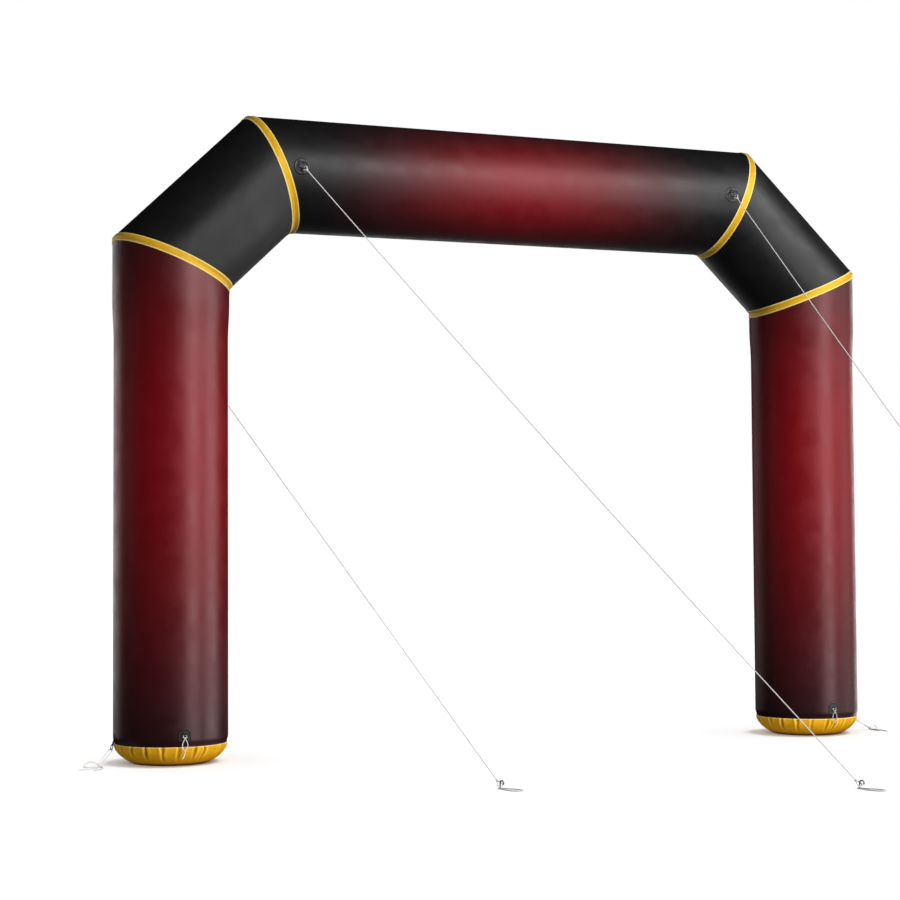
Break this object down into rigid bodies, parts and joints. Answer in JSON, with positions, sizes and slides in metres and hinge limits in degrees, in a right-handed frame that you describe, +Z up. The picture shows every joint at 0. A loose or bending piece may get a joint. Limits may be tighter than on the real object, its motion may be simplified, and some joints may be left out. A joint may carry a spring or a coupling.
{
  "type": "inflatable arch",
  "caption": "Black and deep red inflatable arch of round air tubes with slanted shoulders, golden seam tape, pleated golden foot caps and white guy ropes.",
  "frame": {"origin": "on the ground, midway between the axes of the two legs", "axes": "+X along the beam from the left leg to the right leg, +Z up, -Y the front, where the guy ropes come down"},
  "size_m": [6.5383, 3.8429, 4.5924],
  "materials": {
    "red_cloth": "coated cloth with a satin sheen, deep red fading to black",
    "black_cloth": "coated cloth with a satin sheen",
    "gold_cloth": "satin cloth with stitched edges",
    "patch_cloth": "coated cloth, welded on",
    "webbing": "woven webbing",
    "dark_steel": "dark coated steel wire",
    "pale_steel": "plated steel wire",
    "white_rope": "twisted white cord"
  },
  "bodies": {
    "root": {"beam": "red_cloth", "beam_left_patch": "patch_cloth", "beam_left_ring": "dark_steel", "beam_right_patch": "patch_cloth", "beam_right_ring": "dark_steel", "corner_band_left": "gold_cloth", "corner_band_right": "gold_cloth", "foot_cap_left": "gold_cloth", "foot_cap_right": "gold_cloth", "foot_knot_left": "white_rope", "foot_knot_right": "white_rope", "foot_left_patch": "patch_cloth", "foot_left_ring": "pale_steel", "foot_loop_left": "white_rope", "foot_loop_right": "white_rope", "foot_right_patch": "patch_cloth", "foot_right_ring": "pale_steel", "foot_tail_left": "white_rope", "guy_a_peg": "dark_steel", "guy_a_peg_eye": "white_rope", "guy_a_peg_loop": "white_rope", "guy_a_rope": "white_rope", "guy_a_top_eye": "white_rope", "guy_b_peg": "dark_steel", "guy_b_peg_eye": "white_rope", "guy_b_peg_loop": "white_rope", "guy_b_rope": "white_rope", "guy_b_top_eye": "white_rope", "guy_c_peg": "dark_steel", "guy_c_peg_eye": "white_rope", "guy_c_peg_loop": "white_rope", "guy_c_rope": "white_rope", "guy_c_top_eye": "white_rope", "knee_band_left": "gold_cloth", "knee_band_right": "gold_cloth", "leg_left": "red_cloth", "leg_patch": "patch_cloth", "leg_right": "red_cloth", "leg_ring": "dark_steel", "shoulder_left": "black_cloth", "shoulder_right": "black_cloth", "side_ring_left": "dark_steel", "side_ring_right": "dark_steel", "side_tab_left": "webbing", "side_tab_right": "webbing", "tie_left_bight": "white_rope", "tie_left_end_a": "white_rope", "tie_left_end_b": "white_rope", "tie_left_knot": "white_rope", "tie_left_loop": "white_rope", "tie_right_bight": "white_rope", "tie_right_end_a": "white_rope", "tie_right_end_b": "white_rope", "tie_right_knot": "white_rope", "tie_right_loop": "white_rope"}
  },
  "joints": []
}
